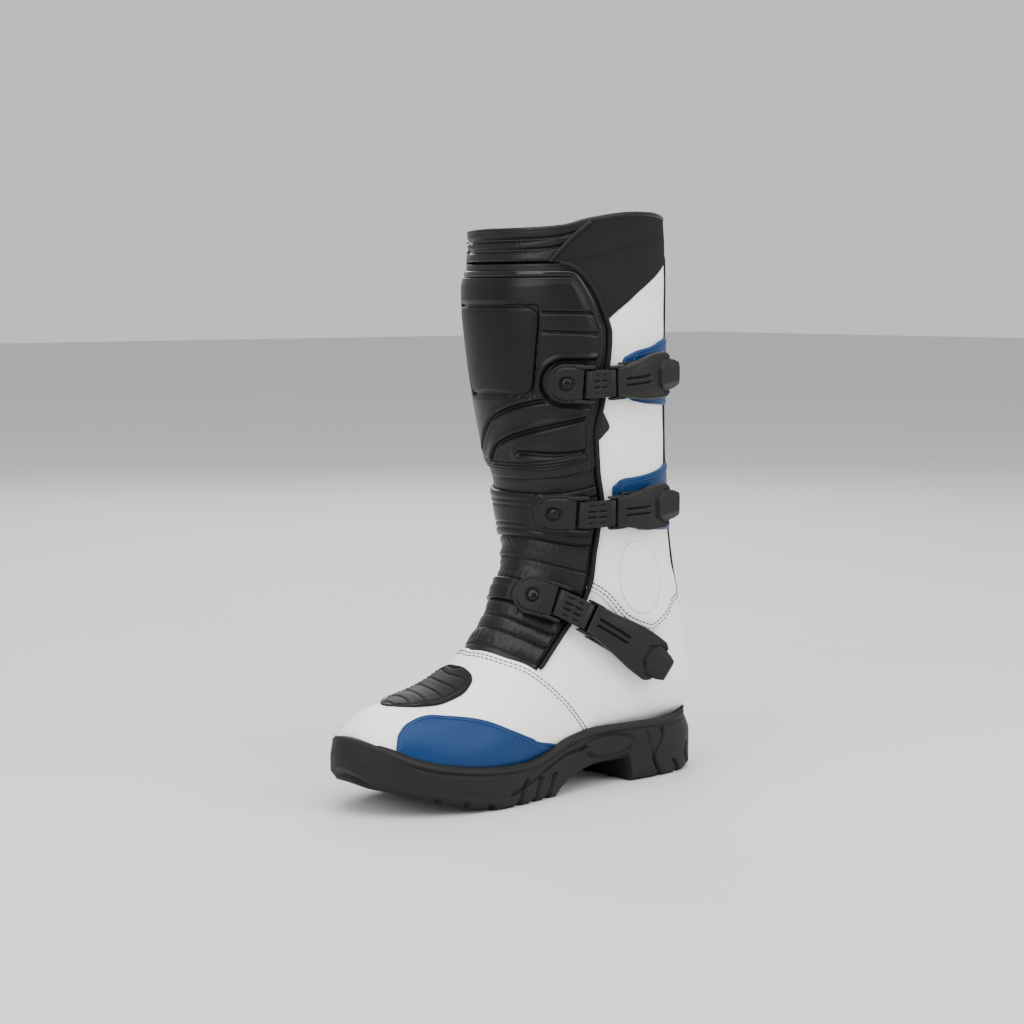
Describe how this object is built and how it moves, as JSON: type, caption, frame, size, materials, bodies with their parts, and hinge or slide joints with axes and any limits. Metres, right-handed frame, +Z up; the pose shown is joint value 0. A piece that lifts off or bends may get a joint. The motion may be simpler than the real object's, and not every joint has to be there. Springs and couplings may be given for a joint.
{
  "type": "riding boot",
  "caption": "Tall left motorcycle riding boot with lugged sole, padded flap, shin plate and lever buckles on ladder straps.",
  "frame": {"origin": "middle of the boot's bounding box, at ground level", "axes": "+Z up, -X toward the toe, -Y toward the outer side with the buckles"},
  "size_m": [0.3, 0.14, 0.401],
  "materials": {
    "sole_rubber": "matte moulded rubber",
    "board": "plain cellulose fibreboard",
    "steel": "satin",
    "lining": "brushed mesh over thin foam",
    "white_leather": "smooth semi-matt coated leather",
    "blue_leather": "smooth semi-matt coated leather",
    "black_leather": "satin soft leather",
    "black_textile": "matte woven nylon",
    "stiffener_plastic": "matte thermoplastic sheet",
    "plate_plastic": "satin thermoplastic polyurethane",
    "buckle_plastic": "matte filled nylon"
  },
  "bodies": {
    "root": {"outsole": "sole_rubber", "lasting_board": "board", "shank": "steel", "insole": "lining", "vamp": "white_leather", "toe_stiffener": "stiffener_plastic", "quarter_outer": "white_leather", "shaft_panel_outer": "white_leather", "ankle_disc_outer": "stiffener_plastic", "toe_patch_outer": "blue_leather", "quarter_inner": "white_leather", "shaft_panel_inner": "white_leather", "ankle_disc_inner": "stiffener_plastic", "toe_patch_inner": "blue_leather", "heel_counter": "stiffener_plastic", "back_stay": "black_leather", "calf_panel": "black_textile", "collar_pad": "black_leather", "liner": "lining", "tongue_gusset": "black_textile", "shift_pad": "black_leather", "strap_patch_top": "blue_leather", "strap_patch_mid": "blue_leather", "bellows_panel": "black_leather", "strap_band_mid": "plate_plastic", "strap_band_low": "plate_plastic", "flap_base": "black_leather", "shin_plate": "plate_plastic", "shin_insert": "plate_plastic", "flap_binding_outer": "black_leather", "flap_binding_inner": "black_leather", "bridge_rivet_top": "steel", "catch_top": "buckle_plastic", "bridge_rivet_mid": "steel", "catch_mid": "buckle_plastic", "bridge_rivet_low": "steel", "catch_low": "buckle_plastic"},
    "bridge_top": {"bridge_top": "buckle_plastic", "hinge_pin_top": "steel"},
    "strap_top": {"ladder_strap_top": "buckle_plastic", "lever_pin_top": "steel"},
    "lever_top": {"lever_top": "buckle_plastic", "lever_cap_top": "buckle_plastic"},
    "bridge_mid": {"bridge_mid": "buckle_plastic", "hinge_pin_mid": "steel"},
    "strap_mid": {"ladder_strap_mid": "buckle_plastic", "lever_pin_mid": "steel"},
    "lever_mid": {"lever_mid": "buckle_plastic", "lever_cap_mid": "buckle_plastic"},
    "bridge_low": {"bridge_low": "buckle_plastic", "hinge_pin_low": "steel"},
    "strap_low": {"ladder_strap_low": "buckle_plastic", "lever_pin_low": "steel"},
    "lever_low": {"lever_low": "buckle_plastic", "lever_cap_low": "buckle_plastic"}
  },
  "joints": [
    {"name": "bridge_top_swivel", "type": "hinge", "parent": "root", "child": "bridge_top", "pos_m": [-0.00207, -0.04643, 0.28527], "axis": [-0.5966, -0.7914, -0.1336], "range_deg": [-5, 5]},
    {"name": "strap_top_swing", "type": "hinge", "parent": "bridge_top", "child": "strap_top", "pos_m": [0.00951, -0.05645, 0.28451], "axis": [0.0327, 0.109, -0.9935], "range_deg": [0, 60]},
    {"name": "lever_top_open", "type": "hinge", "parent": "strap_top", "child": "lever_top", "pos_m": [0.02657, -0.06199, 0.28545], "axis": [0.0939, 0.0697, -0.9931], "range_deg": [0, 100]},
    {"name": "bridge_mid_swivel", "type": "hinge", "parent": "root", "child": "bridge_mid", "pos_m": [0.00193, -0.02941, 0.19515], "axis": [-0.7504, -0.6327, -0.1911], "range_deg": [-5, 5]},
    {"name": "strap_mid_swing", "type": "hinge", "parent": "bridge_mid", "child": "strap_mid", "pos_m": [0.01452, -0.04399, 0.19445], "axis": [0.0688, 0.1672, -0.9835], "range_deg": [0, 60]},
    {"name": "lever_mid_open", "type": "hinge", "parent": "strap_mid", "child": "lever_mid", "pos_m": [0.03504, -0.05325, 0.19537], "axis": [0.1061, 0.1063, -0.9887], "range_deg": [0, 100]},
    {"name": "bridge_low_swivel", "type": "hinge", "parent": "root", "child": "bridge_low", "pos_m": [-0.00892, -0.01943, 0.13806], "axis": [-0.6126, -0.7339, 0.2935], "range_deg": [-5, 5]},
    {"name": "strap_low_swing", "type": "hinge", "parent": "bridge_low", "child": "strap_low", "pos_m": [0.00442, -0.03226, 0.13293], "axis": [-0.4002, 0.0161, -0.9163], "range_deg": [0, 60]},
    {"name": "lever_low_open", "type": "hinge", "parent": "strap_low", "child": "lever_low", "pos_m": [0.02303, -0.04009, 0.12279], "axis": [-0.4739, 0.0832, -0.8766], "range_deg": [0, 100]}
  ]
}
